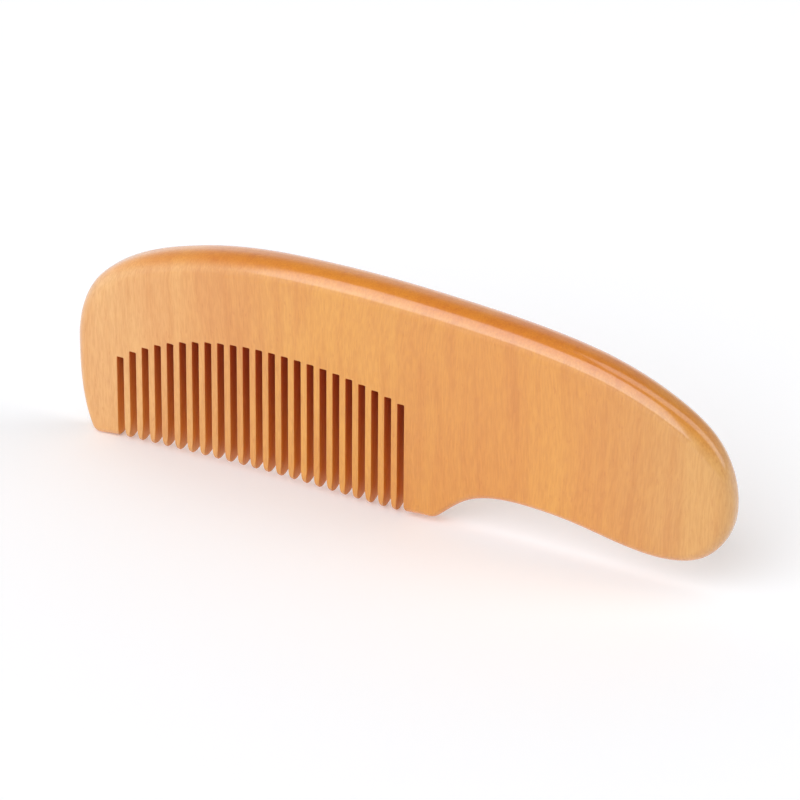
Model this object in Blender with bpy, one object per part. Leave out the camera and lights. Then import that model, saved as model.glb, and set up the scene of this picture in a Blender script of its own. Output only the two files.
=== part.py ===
"""One-piece wooden hair comb with a wide handle, sawn from a single slab.

The comb stands on its teeth: +X runs along the comb towards the handle, -Y is the front face,
+Z points up and the origin is on the ground under the middle of the comb.
Sizes below are in millimetres and are turned into metres when a mesh is made.
"""
import math

import bmesh
import bpy
from mathutils import Vector

MM = 0.001

# The slab is planed to a wedge: thin at the tooth tips, thick at the spine.
THICKNESS_AT_TIPS = 5.5
THICKNESS_AT_SPINE = 12.48
SPINE_HEIGHT = 62.6

# Saw slots: 23 slots leave 22 free teeth between the end piece and the handle block.
SLOT_COUNT = 23
SLOT_PITCH = 3.5855
SLOT_WIDTH = 1.83
FIRST_SLOT_X = -77.43
CUTTER_BOTTOM = -3.0

# How what stands beside a slot narrows at its foot: width taken off, over which height, and how far
# the curve bends. A small bend tapers to a point and a large one rounds a corner.
TIP_FLAT_WIDTH = 0.3
TOOTH_FOOT = ((SLOT_PITCH - SLOT_WIDTH - TIP_FLAT_WIDTH) / 2.0, 6.0, math.radians(25.0))
END_PIECE_FOOT = (0.4, 2.2, math.radians(75.0))
BLOCK_FOOT = (2.2, 3.2, math.radians(75.0))
FOOT_OVERRUN = 0.1

# Top ends of the slots: a smooth arch through three points (x, z, heading in degrees).
ROOT_ARCH = (
    (-78.0, 23.65, 37.0),
    (-34.2, 36.9, 0.0),
    (1.5, 32.1, -17.0),
)

# Side view of the comb, clockwise from the end piece's foot.
# Each knot is x, z, heading of travel in degrees, and the edge rounding there.
OUTLINE = (
    (-84.2, 0.0, 180.0, 1.5),
    (-86.4, 1.8, 111.0, 1.5),
    (-90.3, 26.0, 90.0, 3.2),
    (-84.1, 45.1, 45.0, 4.8),
    (-57.6, 58.3, 15.0, 5.5),
    (-18.2, SPINE_HEIGHT, 1.0, 5.7),
    (23.7, 61.2, -4.0, 5.7),
    (50.3, 57.9, -11.0, 5.5),
    (74.4, 49.2, -28.0, 5.0),
    (87.1, 37.6, -62.0, 4.6),
    (90.3, 25.0, -90.0, 4.2),
    (84.1, 11.2, -139.0, 3.2),
    (70.3, 7.1, -180.0, 2.8),
    (52.0, 9.8, -191.0, 2.6),
    (33.8, 11.7, -180.0, 2.4),
    (19.8, 9.1, -152.0, 2.0),
    (11.8, 2.7, -138.0, 1.4),
    (9.0, 1.5, -180.0, 1.6),
    (5.6, 1.1, -176.0, 2.2),
    (-0.6, 0.3, -180.0, 2.6),
    (-37.2, 1.1, -180.0, 2.6),
    (-79.4, 0.2, -178.0, 2.2),
)

# A rounding stays below this share of the half thickness, so a narrow flat is left between the two.
LARGEST_ROUNDING = 0.92

# How finely the curves are divided.
LARGEST_STEP = 6.0
LARGEST_TURN = math.radians(11.0)
EDGE_SEGMENTS = 3
FOOT_SEGMENTS = 4
HALVINGS = 40
SHARP_ANGLE = math.radians(35.0)


def half_thickness(z):
    """Distance from the middle plane to a face at height z."""
    slope = (THICKNESS_AT_SPINE - THICKNESS_AT_TIPS) / SPINE_HEIGHT
    return (THICKNESS_AT_TIPS + slope * z) / 2.0


def direction(heading):
    angle = math.radians(heading)
    return Vector((math.cos(angle), math.sin(angle)))


def turn_between(start, end):
    """Signed change of heading from one knot to the next, the short way round."""
    return math.radians((end[2] - start[2] + 180.0) % 360.0 - 180.0)


def arc_like(start, end, share):
    """Point and direction at a share of the smooth curve between two knots.

    It is a cubic whose end directions are the knots' headings, and it comes
    very near a circular arc where the two headings suit one.
    """
    a = Vector(start[:2])
    b = Vector(end[:2])
    reach = (b - a).length / math.cos(turn_between(start, end) / 4.0) ** 2
    leave = direction(start[2]) * reach
    arrive = direction(end[2]) * reach
    t = share
    point = (a * (2 * t**3 - 3 * t**2 + 1) + leave * (t**3 - 2 * t**2 + t)
             + b * (3 * t**2 - 2 * t**3) + arrive * (t**3 - t**2))
    tangent = (a * (6 * t**2 - 6 * t) + leave * (3 * t**2 - 4 * t + 1)
               + b * (6 * t - 6 * t**2) + arrive * (3 * t**2 - 2 * t))
    return point, tangent.normalized()


def outline_points():
    """Points round the comb, each with its inward direction and edge rounding."""
    points = []
    for index, start in enumerate(OUTLINE):
        end = OUTLINE[(index + 1) % len(OUTLINE)]
        length = (Vector(end[:2]) - Vector(start[:2])).length
        turn = abs(turn_between(start, end))
        steps = math.ceil(max(length / LARGEST_STEP, turn / LARGEST_TURN))
        for step in range(steps):
            share = step / steps
            point, tangent = arc_like(start, end, share)
            inward = Vector((tangent.y, -tangent.x))
            rounding = start[3] + (end[3] - start[3]) * share
            rounding = min(rounding, LARGEST_ROUNDING * half_thickness(point.y))
            points.append((point, inward, rounding))
    return points


def height_on(start, end, x):
    """Height at x of the smooth curve between two knots."""
    low, high = 0.0, 1.0
    rightward = end[0] > start[0]
    for _ in range(HALVINGS):
        share = (low + high) / 2.0
        if (arc_like(start, end, share)[0].x < x) == rightward:
            low = share
        else:
            high = share
    return arc_like(start, end, share)[0].y


def root_height(x):
    """Height of the slots' top ends at a place along the comb."""
    left, middle, right = ROOT_ARCH
    return height_on(left, middle, x) if x < middle[0] else height_on(middle, right, x)


def tip_height(x):
    """Height of the tooth tips at a place along the comb."""
    block, middle, end_piece = OUTLINE[-3:]
    return height_on(block, middle, x) if x > middle[0] else height_on(middle, end_piece, x)


def new_object(name, mesh):
    piece = bpy.data.objects.new(name, mesh)
    bpy.context.scene.collection.objects.link(piece)
    return piece


def make_blank():
    """The shaped slab before sawing: flat wedge faces and rounded edges."""
    shape = bmesh.new()
    points = outline_points()
    angles = [math.pi / 2 * k / EDGE_SEGMENTS for k in range(EDGE_SEGMENTS + 1)]
    layers = [(-1.0, a) for a in angles] + [(1.0, a) for a in reversed(angles)]
    rings = []
    for side, angle in layers:
        ring = []
        for point, inward, rounding in points:
            place = point + inward * rounding * (1.0 - math.sin(angle))
            depth = half_thickness(place.y) - rounding * (1.0 - math.cos(angle))
            ring.append(shape.verts.new(Vector((place.x, side * depth, place.y)) * MM))
        rings.append(ring)
    count = len(points)
    for ring, following in zip(rings, rings[1:]):
        for k in range(count):
            after = (k + 1) % count
            shape.faces.new((ring[k], ring[after], following[after], following[k]))
    shape.faces.new(list(reversed(rings[0])))
    shape.faces.new(rings[-1])
    bmesh.ops.recalc_face_normals(shape, faces=shape.faces)
    mesh = bpy.data.meshes.new("comb_body")
    shape.to_mesh(mesh)
    shape.free()
    return new_object("comb_body", mesh)


def slot_side(x, toward, foot):
    """One side of a slot from its top end down, bending away under the tooth or piece beside it."""
    width, height, bend = foot
    line = [(x, root_height(x - toward * SLOT_WIDTH / 2.0))]
    end_of_curve = tip_height(x) - FOOT_OVERRUN
    for k in range(FOOT_SEGMENTS + 1):
        angle = bend * k / FOOT_SEGMENTS
        across = width * (1.0 - math.cos(angle)) / (1.0 - math.cos(bend))
        above_end = height * (1.0 - math.sin(angle) / math.sin(bend))
        line.append((x + toward * across, end_of_curve + above_end))
    line.append((line[-1][0], CUTTER_BOTTOM))
    return line


def make_slot_cutter(index):
    """A prism as wide as the saw cut, flared below to shape the feet on both sides of it."""
    left = FIRST_SLOT_X - SLOT_WIDTH / 2.0 + index * SLOT_PITCH
    right = left + SLOT_WIDTH
    left_foot = END_PIECE_FOOT if index == 0 else TOOTH_FOOT
    right_foot = BLOCK_FOOT if index == SLOT_COUNT - 1 else TOOTH_FOOT
    profile = list(reversed(slot_side(left, -1.0, left_foot))) + slot_side(right, 1.0, right_foot)
    shape = bmesh.new()
    front = [shape.verts.new(Vector((x, -THICKNESS_AT_SPINE, z)) * MM) for x, z in profile]
    face = shape.faces.new(front)
    grown = bmesh.ops.extrude_face_region(shape, geom=[face])
    moved = [item for item in grown["geom"] if isinstance(item, bmesh.types.BMVert)]
    bmesh.ops.translate(shape, verts=moved, vec=(0.0, 2.0 * THICKNESS_AT_SPINE * MM, 0.0))
    bmesh.ops.recalc_face_normals(shape, faces=shape.faces)
    mesh = bpy.data.meshes.new("slot_cutter")
    shape.to_mesh(mesh)
    shape.free()
    return mesh


def saw_slots(comb):
    """Cut all slots with one Boolean: the cutters don't touch each other."""
    joined = bmesh.new()
    for index in range(SLOT_COUNT):
        mesh = make_slot_cutter(index)
        joined.from_mesh(mesh)
        bpy.data.meshes.remove(mesh)
    mesh = bpy.data.meshes.new("slot_cutters")
    joined.to_mesh(mesh)
    joined.free()
    cutters = new_object("slot_cutters", mesh)
    cutters.hide_render = True
    cutters.display_type = "WIRE"
    cut = comb.modifiers.new("saw_slots", "BOOLEAN")
    cut.operation = "DIFFERENCE"
    cut.solver = "EXACT"
    cut.object = cutters


def wood_material():
    wood = bpy.data.materials.new("lacquered_wood")
    wood.use_nodes = True
    shader = wood.node_tree.nodes["Principled BSDF"]
    shader.inputs["Base Color"].default_value = (0.80, 0.41, 0.15, 1.0)
    shader.inputs["Roughness"].default_value = 0.38
    shader.inputs["Metallic"].default_value = 0.0
    return wood


def main():
    for old in list(bpy.data.objects):
        bpy.data.objects.remove(old, do_unlink=True)
    comb = make_blank()
    comb.data.materials.append(wood_material())
    comb.data.shade_smooth()
    comb.data.set_sharp_from_angle(angle=SHARP_ANGLE)
    saw_slots(comb)


main()
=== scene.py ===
"""Looks of the one-piece wooden comb: a finely rounded, sawn and lacquered slab on a white studio floor.

Sizes of the comb and the camera's place and lens are in millimetres, and places become metres where
they are used. Sizes of the studio and the material are in metres.
"""
import math
from collections import namedtuple

import bmesh
import bpy
from mathutils import Matrix, Vector


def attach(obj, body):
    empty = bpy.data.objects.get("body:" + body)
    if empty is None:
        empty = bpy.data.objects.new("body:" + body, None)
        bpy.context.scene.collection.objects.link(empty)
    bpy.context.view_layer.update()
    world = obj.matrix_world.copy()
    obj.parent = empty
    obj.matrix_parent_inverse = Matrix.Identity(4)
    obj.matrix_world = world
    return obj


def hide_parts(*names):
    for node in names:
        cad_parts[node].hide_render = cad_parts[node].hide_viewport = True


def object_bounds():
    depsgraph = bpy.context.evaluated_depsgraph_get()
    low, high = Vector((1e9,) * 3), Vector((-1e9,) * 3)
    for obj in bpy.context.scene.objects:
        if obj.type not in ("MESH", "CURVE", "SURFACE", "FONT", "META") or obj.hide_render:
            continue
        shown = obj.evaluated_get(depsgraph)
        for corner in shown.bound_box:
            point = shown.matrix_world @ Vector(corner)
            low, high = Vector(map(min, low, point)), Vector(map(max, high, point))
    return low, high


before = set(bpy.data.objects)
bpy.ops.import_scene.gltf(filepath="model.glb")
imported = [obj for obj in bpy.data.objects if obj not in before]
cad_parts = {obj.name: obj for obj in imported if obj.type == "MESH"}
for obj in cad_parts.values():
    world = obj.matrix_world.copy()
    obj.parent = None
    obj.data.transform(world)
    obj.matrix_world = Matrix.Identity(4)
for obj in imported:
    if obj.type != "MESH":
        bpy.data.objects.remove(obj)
cad_low, cad_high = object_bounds()

MM = 0.001

# Wedge of the slab.
THICKNESS_AT_TIPS = 5.5
THICKNESS_AT_SPINE = 12.48
SPINE_HEIGHT = 62.6

# Saw slots, and the small rounding that sanding leaves on their edges.
SLOT_COUNT = 23
SLOT_PITCH = 3.5855
SLOT_WIDTH = 1.83
FIRST_SLOT_X = -77.43
CUTTER_BOTTOM = -2.0
ROOT_CORNER = 0.22
LIP_RADIUS = 0.2
TIP_LIP_RADIUS = 0.12

# How what stands beside a slot narrows at its foot: width taken off, over which height, and how far
# the curve bends. A small bend tapers to a point and a large one rounds a corner.
TIP_FLAT_WIDTH = 0.44
TOOTH_FOOT = ((SLOT_PITCH - SLOT_WIDTH - TIP_FLAT_WIDTH) / 2.0, 6.0, math.radians(25.0))
END_PIECE_FOOT = (0.4, 2.2, math.radians(75.0))
BLOCK_FOOT = (2.2, 3.2, math.radians(75.0))
FOOT_OVERRUN = 0.1

# Top ends of the slots: x, z, heading in degrees.
ROOT_ARCH = (
    (-78.0, 23.65, 37.0),
    (-34.2, 36.9, 0.0),
    (1.5, 32.1, -17.0),
)

# Side view of the comb, clockwise from the end piece's foot: x, z, heading in degrees, edge rounding.
TIP_ROUNDING = 2.6
OUTLINE = (
    (-84.2, 0.0, 180.0, 1.5),
    (-86.4, 1.8, 111.0, 1.5),
    (-90.3, 26.0, 90.0, 3.2),
    (-84.1, 45.1, 45.0, 4.8),
    (-57.6, 58.3, 15.0, 5.5),
    (-18.2, SPINE_HEIGHT, 1.0, 5.7),
    (23.7, 61.2, -4.0, 5.7),
    (50.3, 57.9, -11.0, 5.5),
    (74.4, 49.2, -28.0, 5.0),
    (87.1, 37.6, -62.0, 4.6),
    (90.3, 25.0, -90.0, 4.2),
    (84.1, 11.2, -139.0, 3.2),
    (70.3, 7.1, -180.0, 2.8),
    (52.0, 9.8, -191.0, 2.6),
    (33.8, 11.7, -180.0, 2.4),
    (19.8, 9.1, -152.0, 2.0),
    (11.8, 2.7, -138.0, 1.4),
    (9.0, 1.5, -180.0, 1.6),
    (5.6, 1.1, -176.0, 2.2),
    (-0.6, 0.3, -180.0, TIP_ROUNDING),
    (-37.2, 1.1, -180.0, TIP_ROUNDING),
    (-79.4, 0.2, -178.0, 2.2),
)

# A rounding stays below this share of the half thickness, so a narrow flat is left between the two.
LARGEST_ROUNDING = 0.92

# How finely the curves are divided.
LARGEST_STEP = 1.5
LARGEST_TURN = math.radians(3.0)
EDGE_SEGMENTS = 12
FOOT_SEGMENTS = 12
CORNER_SEGMENTS = 3
WALL_SEGMENTS = 12
LIP_SEGMENTS = 4
HALVINGS = 40

# How the sawn mesh is cleaned. Along this skew direction hardly any two points are level.
WELD_DISTANCE = 0.0005
SORTING_DIRECTION = Vector((1.0, 0.2718, 0.0577))

# How it is shaded: edges over this angle stay sharp, and the large faces keep their own normals.
SHARP_ANGLE = math.radians(40.0)
NORMAL_WEIGHT = 90

# Camera: the direction it looks from, its tilt, and its distance from the point it looks at.
CAMERA_AZIMUTH = math.radians(25.8)
CAMERA_ELEVATION = math.radians(28.3)
CAMERA_ROLL = math.radians(2.03)
CAMERA_DISTANCE = 1552.6
CAMERA_AIM = Vector((-0.94, 0.0, 30.7))
CAMERA_LENS = 283.5
SENSOR_WIDTH = 36.0

# The camera shows what is between these distances, in metres.
CLIP_NEAR = 0.05
CLIP_FAR = 20.0

# Surroundings: a bright sweep low down under a dim room, and the sines of the elevations between
# which one gives way to the other. Both fall to a share of that towards the handle's side, while the
# direction's rightward part goes from -SIDE_CHANGE to SIDE_CHANGE.
SWEEP_RADIANCE = 1.25
SWEEP_TOP = 0.10
ROOM_RADIANCE = 0.20
ROOM_BOTTOM = 0.95
HANDLE_SIDE_SHARE = 0.5
SIDE_CHANGE = 0.3

# Softboxes, slightly cool: name, direction from the comb, width and height, radiance.
SOFTBOX_COLOUR = (0.96, 1.0, 1.07)
SOFTBOX_DISTANCE = 2.6
SOFTBOXES = (
    ("key_softbox", (-0.08, -0.73, 0.64), (2.5, 2.6), 2.35),
    ("side_strip", (0.60, 0.25, 0.77), (1.3, 4.5), 1.6),
)

# Floor: its paint, and its glow, painted light that lightens the comb's shadow and grows from the front
# to the back of the comb and with distance, where the lamps reach less.
FLOOR_REACH = 6.0
FLOOR_COLOUR = (0.95, 0.935, 0.92, 1.0)
FLOOR_ROUGHNESS = 0.9
FRONT_GLOW = 0.08
BACK_GLOW = 0.15
GLOW_FRONT_Y = -0.03
GLOW_BACK_Y = 0.05
FAR_GLOW = 0.8
FAR_GLOW_START = 0.3
FAR_GLOW_END = 4.0
WHITE = (1.0, 1.0, 1.0, 1.0)

# Wood colours, linear, and the places along the comb between which one turns into the next.
END_WOOD = (0.773, 0.412, 0.136)
MIDDLE_WOOD = (0.719, 0.313, 0.038)
HANDLE_WOOD = (0.672, 0.333, 0.078)
END_TO_MIDDLE = (-0.088, -0.015)
MIDDLE_TO_HANDLE = (0.040, 0.085)

# Noise drawn out along the grain: blotches per metre across and along it, detail and roughness.
Noise = namedtuple("Noise", "across along detail roughness")

# A layer of the grain: its tint multiplies the colour, from none where the noise is at sets_in up to
# its strength at full.
Layer = namedtuple("Layer", "noise sets_in full strength tint")

BROAD = Layer(Noise(55.0, 9.0, 1.0, 0.5), 0.35, 0.65, 1.0, (0.95, 0.86, 0.78))
STREAKS = Layer(Noise(420.0, 22.0, 3.0, 0.6), 0.40, 0.75, 0.75, (0.90, 0.80, 0.64))
FIBRES = Layer(Noise(2400.0, 260.0, 2.0, 0.5), 0.30, 0.70, 0.8, (0.89, 0.82, 0.73))
FLECKS = Layer(Noise(1500.0, 420.0, 1.0, 0.5), 0.62, 0.80, 0.5, (0.86, 0.70, 0.58))

# Growth rings lie where their noise is close to a level, so the layer goes by the distance from it.
RINGS = Layer(Noise(75.0, 7.0, 3.0, 0.5), 0.05, 0.0, 0.22, (0.88, 0.72, 0.60))
RING_LEVEL = 0.56

# The grain sways a little: blotches per metre, and how far it goes sideways.
SWAY_SCALE = 22.0
SWAY_DETAIL = 1.0
SWAY = 0.006

# End grain shows where the surface faces up or down, by the upright part of its normal.
END_GRAIN_SETS_IN = 0.35
END_GRAIN_FULL = 0.85
END_GRAIN_TINT = (1.02, 0.80, 0.34)

# Slot walls: browner than the faces, partly the sawn wood's own colour and partly painted shade, which
# is lightest at the tips, where more light reaches, and deepens up to this height; dull with saw marks
# all over.
TIP_WALL_PAINTED_LIGHT_TINT = (1.10, 0.90, 0.42)
SAWN_AND_PAINTED_SHADE_TINT = (0.80, 0.30, 0.06)
WALL_PAINTED_SHADE_HEIGHT = 0.036
SAWN_ROUGHNESS = 0.35
SAWN_COAT = 0.1
SAW_MARKS = Noise(260.0, 2600.0, 1.0, 0.5)
SAW_MARK_RELIEF = 1.5

# Surface under the lacquer, duller and deeper where the fibres are open.
SMOOTHEST = 0.40
ROUGHEST = 0.52
FIBRES_CLOSED = 0.3
FIBRES_OPEN = 0.8
FIBRE_DEPTH = 0.00004
BUMP_STRENGTH = 0.35
SPECULAR_LEVEL = 0.3

# Lacquer.
COAT_ROUGHNESS = 0.16
COAT_IOR = 1.7


# ---------------------------------------------------------------- shape

def half_thickness(z):
    """Distance from the middle plane to a face at height z."""
    slope = (THICKNESS_AT_SPINE - THICKNESS_AT_TIPS) / SPINE_HEIGHT
    return (THICKNESS_AT_TIPS + slope * z) / 2.0


def direction(heading):
    """Unit vector of a heading in degrees."""
    angle = math.radians(heading)
    return Vector((math.cos(angle), math.sin(angle)))


def turn_between(start, end):
    """Signed change of heading from one knot to the next, the short way round."""
    return math.radians((end[2] - start[2] + 180.0) % 360.0 - 180.0)


def arc_like(start, end, share):
    """Point and direction at a share of the smooth curve between two knots."""
    a = Vector(start[:2])
    b = Vector(end[:2])
    reach = (b - a).length / math.cos(turn_between(start, end) / 4.0) ** 2
    leave = direction(start[2]) * reach
    arrive = direction(end[2]) * reach
    t = share
    point = (a * (2 * t**3 - 3 * t**2 + 1) + leave * (t**3 - 2 * t**2 + t)
             + b * (3 * t**2 - 2 * t**3) + arrive * (t**3 - t**2))
    tangent = (a * (6 * t**2 - 6 * t) + leave * (3 * t**2 - 4 * t + 1)
               + b * (6 * t - 6 * t**2) + arrive * (3 * t**2 - 2 * t))
    return point, tangent.normalized()


def eased(share):
    """A share from 0 to 1 that starts and ends gently."""
    return share * share * (3.0 - 2.0 * share)


def outline_points():
    """Points round the comb, each with its inward direction and edge rounding."""
    points = []
    for index, start in enumerate(OUTLINE):
        end = OUTLINE[(index + 1) % len(OUTLINE)]
        length = (Vector(end[:2]) - Vector(start[:2])).length
        steps = math.ceil(max(length / LARGEST_STEP, abs(turn_between(start, end)) / LARGEST_TURN))
        for step in range(steps):
            share = step / steps
            point, tangent = arc_like(start, end, share)
            inward = Vector((tangent.y, -tangent.x))
            rounding = start[3] + (end[3] - start[3]) * eased(share)
            rounding = min(rounding, LARGEST_ROUNDING * half_thickness(point.y))
            points.append((point, inward, rounding))
    return points


def height_on(start, end, x):
    """Height at x of the smooth curve between two knots."""
    low, high = 0.0, 1.0
    rightward = end[0] > start[0]
    for _ in range(HALVINGS):
        share = (low + high) / 2.0
        if (arc_like(start, end, share)[0].x < x) == rightward:
            low = share
        else:
            high = share
    return arc_like(start, end, share)[0].y


def root_height(x):
    """Height of the slots' top ends at a place along the comb."""
    left, middle, right = ROOT_ARCH
    return height_on(left, middle, x) if x < middle[0] else height_on(middle, right, x)


def tip_height(x):
    """Height of the tooth tips at a place along the comb."""
    block, middle, end_piece = OUTLINE[-3:]
    x = min(max(x, end_piece[0]), block[0])
    return height_on(block, middle, x) if x > middle[0] else height_on(middle, end_piece, x)


def surface_depth(x, z):
    """Distance from the middle plane to the comb's surface near the tooth tips."""
    rounding = min(TIP_ROUNDING, LARGEST_ROUNDING * half_thickness(z))
    above_tip = min(max(z - tip_height(x), 0.0), rounding)
    inset = rounding - math.sqrt(rounding**2 - (rounding - above_tip) ** 2)
    return half_thickness(z) - inset


def new_object(name, mesh):
    """A mesh object in the scene."""
    piece = bpy.data.objects.new(name, mesh)
    bpy.context.scene.collection.objects.link(piece)
    return piece


def stack_rings(shape, rings):
    """Join rings of equal length into one closed body with flat ends."""
    count = len(rings[0])
    for ring, following in zip(rings, rings[1:]):
        for k in range(count):
            after = (k + 1) % count
            shape.faces.new((ring[k], ring[after], following[after], following[k]))
    shape.faces.new(list(reversed(rings[0])))
    shape.faces.new(rings[-1])
    bmesh.ops.recalc_face_normals(shape, faces=shape.faces)


def make_blank():
    """The shaped slab before sawing."""
    shape = bmesh.new()
    points = outline_points()
    angles = [math.pi / 2 * k / EDGE_SEGMENTS for k in range(EDGE_SEGMENTS + 1)]
    layers = [(-1.0, a) for a in angles] + [(1.0, a) for a in reversed(angles)]
    rings = []
    for side, angle in layers:
        ring = []
        for point, inward, rounding in points:
            place = point + inward * rounding * (1.0 - math.sin(angle))
            depth = half_thickness(place.y) - rounding * (1.0 - math.cos(angle))
            ring.append(shape.verts.new(Vector((place.x, side * depth, place.y)) * MM))
        rings.append(ring)
    stack_rings(shape, rings)
    mesh = bpy.data.meshes.new("comb")
    shape.to_mesh(mesh)
    shape.free()
    return new_object("comb", mesh)


def slot_half(x, toward, foot):
    """Points from a slot's root corner down one side and out under what stands beside it.

    Each point has its outward direction and lip radius.
    """
    width, height, bend = foot
    top = root_height(x - toward * SLOT_WIDTH / 2.0) - ROOT_CORNER
    end_of_curve = tip_height(x) - FOOT_OVERRUN
    points = []
    for k in range(CORNER_SEGMENTS + 1):
        angle = math.pi / 2 * k / CORNER_SEGMENTS
        outward = Vector((toward * math.sin(angle), math.cos(angle)))
        centre = Vector((x - toward * ROOT_CORNER, top))
        points.append((centre + outward * ROOT_CORNER, outward, LIP_RADIUS))
    for k in range(1, WALL_SEGMENTS):
        z = top + (end_of_curve + height - top) * k / WALL_SEGMENTS
        points.append((Vector((x, z)), Vector((toward, 0.0)), LIP_RADIUS))
    for k in range(FOOT_SEGMENTS + 1):
        angle = bend * k / FOOT_SEGMENTS
        across = width * (1.0 - math.cos(angle)) / (1.0 - math.cos(bend))
        above_end = height * (1.0 - math.sin(angle) / math.sin(bend))
        fall = height * math.cos(angle) / math.sin(bend)
        run = width * math.sin(angle) / (1.0 - math.cos(bend))
        radius = LIP_RADIUS + (TIP_LIP_RADIUS - LIP_RADIUS) * k / FOOT_SEGMENTS
        place = Vector((x + toward * across, end_of_curve + above_end))
        points.append((place, Vector((toward * fall, run)).normalized(), radius))
    points.append((Vector((points[-1][0].x, CUTTER_BOTTOM)), Vector((toward, 0.0)), TIP_LIP_RADIUS))
    return points


def add_slot_cutter(shape, index):
    """One saw cut as a solid whose edges flare at both faces, so the cut's lips come out rounded."""
    left = FIRST_SLOT_X - SLOT_WIDTH / 2.0 + index * SLOT_PITCH
    right = left + SLOT_WIDTH
    left_foot = END_PIECE_FOOT if index == 0 else TOOTH_FOOT
    right_foot = BLOCK_FOOT if index == SLOT_COUNT - 1 else TOOTH_FOOT
    points = list(reversed(slot_half(left, -1.0, left_foot))) + slot_half(right, 1.0, right_foot)
    angles = [math.pi / 2 * k / LIP_SEGMENTS for k in range(LIP_SEGMENTS + 1)]
    layers = [(-1.0, None)] + [(-1.0, a) for a in angles]
    layers += [(1.0, a) for a in reversed(angles)] + [(1.0, None)]
    rings = []
    for side, angle in layers:
        ring = []
        for point, outward, radius in points:
            if angle is None:
                flare = radius
                level = THICKNESS_AT_SPINE
            else:
                flare = radius * (1.0 - math.sin(angle))
                level = surface_depth(point.x, point.y) - radius * (1.0 - math.cos(angle))
            place = point + outward * flare
            ring.append(shape.verts.new(Vector((place.x, side * level, place.y)) * MM))
        rings.append(ring)
    stack_rings(shape, rings)


def weld(mesh):
    """Merge the near-coincident points that a Boolean leaves, and the empty faces between them.

    A Boolean's points come in a different order each run. Putting them in order first lets the same
    ones stay each time.
    """
    shape = bmesh.new()
    shape.from_mesh(mesh)
    shape.verts.sort(key=lambda vertex: vertex.co.dot(SORTING_DIRECTION))
    shape.faces.sort(key=lambda face: face.calc_center_median().dot(SORTING_DIRECTION))
    bmesh.ops.remove_doubles(shape, verts=shape.verts, dist=WELD_DISTANCE * MM)
    bmesh.ops.dissolve_degenerate(shape, edges=shape.edges, dist=WELD_DISTANCE * MM)
    shape.to_mesh(mesh)
    shape.free()


def saw_slots(comb):
    """Cut all slots with one Boolean: the cutters don't touch each other."""
    joined = bmesh.new()
    for index in range(SLOT_COUNT):
        add_slot_cutter(joined, index)
    bmesh.ops.recalc_face_normals(joined, faces=joined.faces)
    mesh = bpy.data.meshes.new("slot_cutters")
    joined.to_mesh(mesh)
    joined.free()
    cutters = new_object("slot_cutters", mesh)
    cut = comb.modifiers.new("saw_slots", "BOOLEAN")
    cut.operation = "DIFFERENCE"
    cut.solver = "EXACT"
    cut.object = cutters
    bpy.context.view_layer.update()
    sawn = bpy.data.meshes.new_from_object(comb.evaluated_get(bpy.context.evaluated_depsgraph_get()))
    comb.modifiers.clear()
    weld(sawn)
    comb.data = sawn
    bpy.data.objects.remove(cutters, do_unlink=True)


def mark_sawn_walls(mesh):
    """Store how deep inside a slot each point lies: 0 on the faces, 1 on the walls."""
    attribute = mesh.attributes.new("sawn", "FLOAT", "POINT")
    first = FIRST_SLOT_X
    last = first + SLOT_PITCH * (SLOT_COUNT - 1)
    reach = SLOT_WIDTH / 2.0 + LIP_RADIUS
    for vertex, value in zip(mesh.vertices, attribute.data):
        x, y, z = vertex.co / MM
        nearest = first + round((x - first) / SLOT_PITCH) * SLOT_PITCH
        beyond_walls = x < first - reach or x > last + reach
        if beyond_walls or z > root_height(nearest) + LIP_RADIUS:
            continue
        inside = (surface_depth(x, z) - abs(y)) / LIP_RADIUS
        value.value = min(max(inside, 0.0), 1.0)


# ---------------------------------------------------------------- nodes

def node(tree, kind, **settings):
    """A new node with some of its settings."""
    made = tree.nodes.new(kind)
    for name, value in settings.items():
        setattr(made, name, value)
    return made


def calculate(tree, operation, *terms):
    """Result of one calculation on numbers and sockets."""
    maths = node(tree, "ShaderNodeMath", operation=operation)
    for socket, term in zip(maths.inputs, terms):
        if isinstance(term, float):
            socket.default_value = term
        else:
            tree.links.new(term, socket)
    return maths.outputs["Value"]


def remap(tree, value, low, high, to_low=0.0, to_high=1.0):
    """Smooth step of a value from one range to another."""
    step = node(tree, "ShaderNodeMapRange", interpolation_type="SMOOTHSTEP")
    tree.links.new(value, step.inputs["Value"])
    step.inputs["From Min"].default_value = low
    step.inputs["From Max"].default_value = high
    step.inputs["To Min"].default_value = to_low
    step.inputs["To Max"].default_value = to_high
    return step.outputs["Result"]


def tint(tree, colour, factor, other, mode="MIX"):
    """Mix a colour, itself a socket or a value, with another by a factor socket."""
    mix = node(tree, "ShaderNodeMix", data_type="RGBA", blend_type=mode)
    tree.links.new(factor, mix.inputs["Factor"])
    colour_sockets = [socket for socket in mix.inputs if socket.type == "RGBA"]
    for socket, source in zip(colour_sockets, (colour, other)):
        if isinstance(source, tuple):
            socket.default_value = (*source, 1.0)
        else:
            tree.links.new(source, socket)
    return next(socket for socket in mix.outputs if socket.type == "RGBA")


def separated(tree, coordinates):
    """X, Y and Z of one kind of texture coordinate."""
    parts = node(tree, "ShaderNodeSeparateXYZ")
    tree.links.new(node(tree, "ShaderNodeTexCoord").outputs[coordinates], parts.inputs["Vector"])
    return parts.outputs


# ---------------------------------------------------------------- wood

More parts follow.
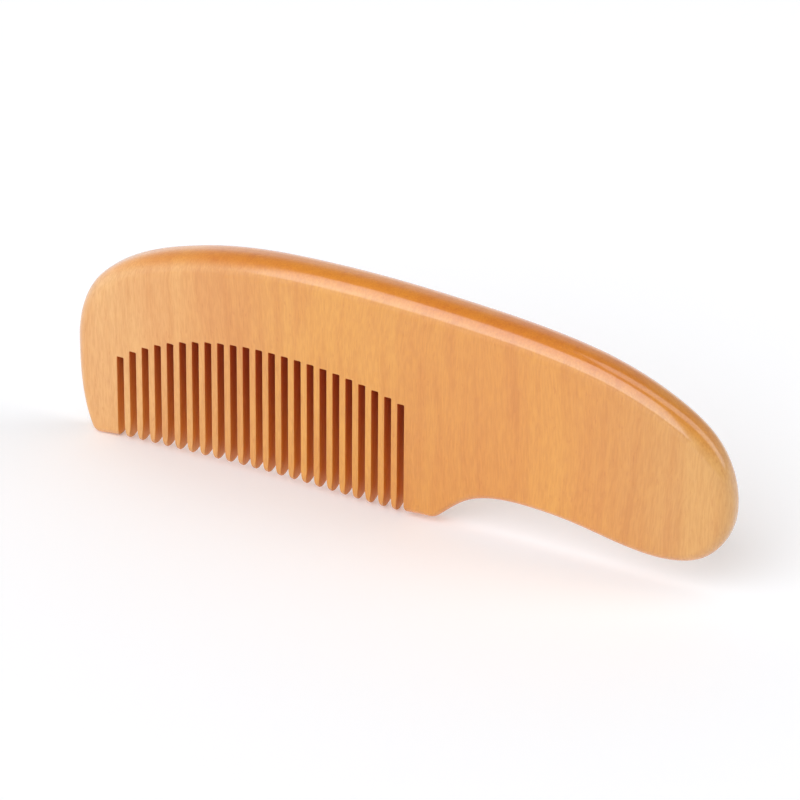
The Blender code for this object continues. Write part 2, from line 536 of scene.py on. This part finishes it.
def swayed_place(tree):
    """Object coordinates swayed slightly sideways, so the grain isn't ruler straight."""
    coordinates = node(tree, "ShaderNodeTexCoord").outputs["Object"]
    sway = node(tree, "ShaderNodeTexNoise")
    sway.inputs["Scale"].default_value = SWAY_SCALE
    sway.inputs["Detail"].default_value = SWAY_DETAIL
    tree.links.new(coordinates, sway.inputs["Vector"])
    centred = node(tree, "ShaderNodeVectorMath", operation="SUBTRACT")
    tree.links.new(sway.outputs["Color"], centred.inputs[0])
    centred.inputs[1].default_value = (0.5, 0.5, 0.5)
    scaled = node(tree, "ShaderNodeVectorMath", operation="MULTIPLY_ADD")
    tree.links.new(centred.outputs["Vector"], scaled.inputs[0])
    scaled.inputs[1].default_value = (SWAY, SWAY, 0.0)
    tree.links.new(coordinates, scaled.inputs[2])
    return scaled.outputs["Vector"]


def stretched_noise(tree, place, noise):
    """Noise drawn out along the grain, which runs up the teeth."""
    mapping = node(tree, "ShaderNodeMapping")
    mapping.inputs["Scale"].default_value = (noise.across, noise.across, noise.along)
    tree.links.new(place, mapping.inputs["Vector"])
    texture = node(tree, "ShaderNodeTexNoise")
    texture.inputs["Scale"].default_value = 1.0
    texture.inputs["Detail"].default_value = noise.detail
    texture.inputs["Roughness"].default_value = noise.roughness
    tree.links.new(mapping.outputs["Vector"], texture.inputs["Vector"])
    return texture.outputs["Fac"]


def with_layer(tree, colour, value, layer):
    """A colour with one layer of grain multiplied in, by the value of its noise."""
    share = remap(tree, value, layer.sets_in, layer.full, 0.0, layer.strength)
    return tint(tree, colour, share, layer.tint, "MULTIPLY")


def wood_colour(tree, place, fibres, sawn):
    """Tone along the comb, layers of grain, end grain, and the brown of the slot walls, partly their own
    and partly painted shade.
    """
    x, _, z = separated(tree, "Object")
    colour = tint(tree, END_WOOD, remap(tree, x, *END_TO_MIDDLE), MIDDLE_WOOD)
    colour = tint(tree, colour, remap(tree, x, *MIDDLE_TO_HANDLE), HANDLE_WOOD)

    colour = with_layer(tree, colour, stretched_noise(tree, place, BROAD.noise), BROAD)
    colour = with_layer(tree, colour, stretched_noise(tree, place, STREAKS.noise), STREAKS)
    colour = with_layer(tree, colour, fibres, FIBRES)
    above_level = calculate(tree, "SUBTRACT", stretched_noise(tree, place, RINGS.noise), RING_LEVEL)
    colour = with_layer(tree, colour, calculate(tree, "ABSOLUTE", above_level), RINGS)
    colour = with_layer(tree, colour, stretched_noise(tree, place, FLECKS.noise), FLECKS)

    upright = calculate(tree, "ABSOLUTE", separated(tree, "Normal")["Z"])
    end_grain = remap(tree, upright, END_GRAIN_SETS_IN, END_GRAIN_FULL)
    colour = tint(tree, colour, end_grain, END_GRAIN_TINT, "MULTIPLY")
    # Painted shade: the slot walls go from lighter tips to deep brown up the slot, on top of the sawn
    # wood's own brown.
    wall_colour_and_painted_shade = tint(tree, TIP_WALL_PAINTED_LIGHT_TINT, remap(tree, z, 0.0, WALL_PAINTED_SHADE_HEIGHT), SAWN_AND_PAINTED_SHADE_TINT)
    return tint(tree, colour, sawn, wall_colour_and_painted_shade, "MULTIPLY")


def wood_relief(tree, place, fibres, sawn):
    """Normal of a surface with open fibres everywhere and saw marks on the slot walls."""
    saw_marks = calculate(tree, "MULTIPLY", sawn, stretched_noise(tree, place, SAW_MARKS))
    height = calculate(tree, "MULTIPLY_ADD", saw_marks, SAW_MARK_RELIEF, fibres)
    bump = node(tree, "ShaderNodeBump")
    bump.inputs["Strength"].default_value = BUMP_STRENGTH
    bump.inputs["Distance"].default_value = FIBRE_DEPTH
    tree.links.new(height, bump.inputs["Height"])
    return bump.outputs["Normal"]


def wood_material():
    """Fine-grained fruitwood under a thin clear lacquer, darker on end grain, and in the saw cuts darker
    both from the sawn wood and from painted shade.
    """
    wood = bpy.data.materials.new("lacquered_wood")
    wood.use_nodes = True
    tree = wood.node_tree
    shader = tree.nodes["Principled BSDF"]
    place = swayed_place(tree)
    fibres = stretched_noise(tree, place, FIBRES.noise)
    sawn = node(tree, "ShaderNodeAttribute", attribute_name="sawn").outputs["Fac"]

    roughness = remap(tree, fibres, FIBRES_CLOSED, FIBRES_OPEN, SMOOTHEST, ROUGHEST)
    roughness = calculate(tree, "MULTIPLY_ADD", sawn, SAWN_ROUGHNESS, roughness)
    tree.links.new(wood_colour(tree, place, fibres, sawn), shader.inputs["Base Color"])
    tree.links.new(roughness, shader.inputs["Roughness"])
    tree.links.new(wood_relief(tree, place, fibres, sawn), shader.inputs["Normal"])
    tree.links.new(remap(tree, sawn, 0.0, 1.0, 1.0, SAWN_COAT), shader.inputs["Coat Weight"])
    shader.inputs["Coat Roughness"].default_value = COAT_ROUGHNESS
    shader.inputs["Coat IOR"].default_value = COAT_IOR
    shader.inputs["Specular IOR Level"].default_value = SPECULAR_LEVEL
    return wood


def make_comb():
    """The sawn and lacquered comb, in place of the plain CAD solid."""
    comb = make_blank()
    saw_slots(comb)
    mark_sawn_walls(comb.data)
    comb.data.materials.clear()
    comb.data.materials.append(wood_material())
    comb.data.shade_smooth()
    comb.data.set_sharp_from_angle(angle=SHARP_ANGLE)
    normals = comb.modifiers.new("face_weighted_normals", "WEIGHTED_NORMAL")
    normals.keep_sharp = True
    normals.weight = NORMAL_WEIGHT
    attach(comb, "root")
    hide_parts("comb_body")


# ---------------------------------------------------------------- studio

def floor_paint_and_painted_glow():
    """Matt white paint with a faint painted glow, more so behind the comb and far off, where it's less
    lit.
    """
    paint = bpy.data.materials.new("white_floor_painted_glow")
    paint.use_nodes = True
    tree = paint.node_tree
    backward = separated(tree, "Object")["Y"]
    near_glow = remap(tree, backward, GLOW_FRONT_Y, GLOW_BACK_Y, FRONT_GLOW, BACK_GLOW)
    away = node(tree, "ShaderNodeVectorMath", operation="LENGTH")
    tree.links.new(node(tree, "ShaderNodeTexCoord").outputs["Object"], away.inputs[0])
    far_glow = remap(tree, away.outputs["Value"], FAR_GLOW_START, FAR_GLOW_END, 0.0, FAR_GLOW)
    shader = tree.nodes["Principled BSDF"]
    shader.inputs["Base Color"].default_value = FLOOR_COLOUR
    shader.inputs["Roughness"].default_value = FLOOR_ROUGHNESS
    shader.inputs["Emission Color"].default_value = WHITE
    # Painted light: the floor's glow lightens the shade behind the comb and the far floor.
    tree.links.new(calculate(tree, "ADD", near_glow, far_glow), shader.inputs["Emission Strength"])
    return paint


def make_floor():
    """A square floor under the comb."""
    mesh = bpy.data.meshes.new("studio_floor")
    corners = [(x * FLOOR_REACH, y * FLOOR_REACH, 0.0) for x, y in ((-1, -1), (1, -1), (1, 1), (-1, 1))]
    mesh.from_pydata(corners, [], [(0, 1, 2, 3)])
    mesh.materials.append(floor_paint_and_painted_glow())
    new_object("studio_floor", mesh)


def add_softbox(name, toward, size, radiance):
    """A rectangular soft light, across and tall, that faces the comb from the given direction."""
    light = bpy.data.lights.new(name, "AREA")
    light.shape = "RECTANGLE"
    light.size, light.size_y = size
    light.energy = radiance * math.pi * light.size * light.size_y
    light.color = SOFTBOX_COLOUR
    lamp = bpy.data.objects.new(name, light)
    away = Vector(toward).normalized()
    lamp.location = (cad_low + cad_high) / 2.0 + away * SOFTBOX_DISTANCE
    lamp.rotation_euler = away.to_track_quat("Z", "Y").to_euler()
    lamp.visible_camera = False
    bpy.context.scene.collection.objects.link(lamp)


def make_world():
    """A white sweep low down all round under a dim room, both duller on the handle's side."""
    world = bpy.data.worlds.new("studio")
    world.use_nodes = True
    tree = world.node_tree
    rightward, _, height = separated(tree, "Generated")
    radiance = remap(tree, height, SWEEP_TOP, ROOM_BOTTOM, SWEEP_RADIANCE, ROOM_RADIANCE)
    share = remap(tree, rightward, -SIDE_CHANGE, SIDE_CHANGE, 1.0, HANDLE_SIDE_SHARE)
    background = tree.nodes["Background"]
    background.inputs["Color"].default_value = WHITE
    tree.links.new(calculate(tree, "MULTIPLY", radiance, share), background.inputs["Strength"])
    bpy.context.scene.world = world


def camera_axes():
    """The camera's right, up and backward directions."""
    across = math.cos(CAMERA_ELEVATION)
    back = Vector((
        math.sin(CAMERA_AZIMUTH) * across,
        -math.cos(CAMERA_AZIMUTH) * across,
        math.sin(CAMERA_ELEVATION),
    ))
    level = Vector((0.0, 0.0, 1.0)).cross(back).normalized()
    upright = back.cross(level)
    right = level * math.cos(CAMERA_ROLL) + upright * math.sin(CAMERA_ROLL)
    up = upright * math.cos(CAMERA_ROLL) - level * math.sin(CAMERA_ROLL)
    return right, up, back


def make_camera():
    """A long lens, slightly rolled, and the plain colour transform."""
    lens = bpy.data.cameras.new("camera")
    lens.sensor_width = SENSOR_WIDTH
    lens.lens = CAMERA_LENS
    lens.clip_start = CLIP_NEAR
    lens.clip_end = CLIP_FAR
    right, up, back = camera_axes()
    place = (CAMERA_AIM + back * CAMERA_DISTANCE) * MM
    camera = bpy.data.objects.new("camera", lens)
    camera.matrix_world = Matrix((
        (right.x, up.x, back.x, place.x),
        (right.y, up.y, back.y, place.y),
        (right.z, up.z, back.z, place.z),
        (0.0, 0.0, 0.0, 1.0),
    ))
    bpy.context.scene.collection.objects.link(camera)
    bpy.context.scene.camera = camera
    bpy.context.scene.view_settings.view_transform = "Standard"


# ---------------------------------------------------------------- scene

make_camera()
make_floor()
make_world()
for softbox in SOFTBOXES:
    add_softbox(*softbox)
make_comb()
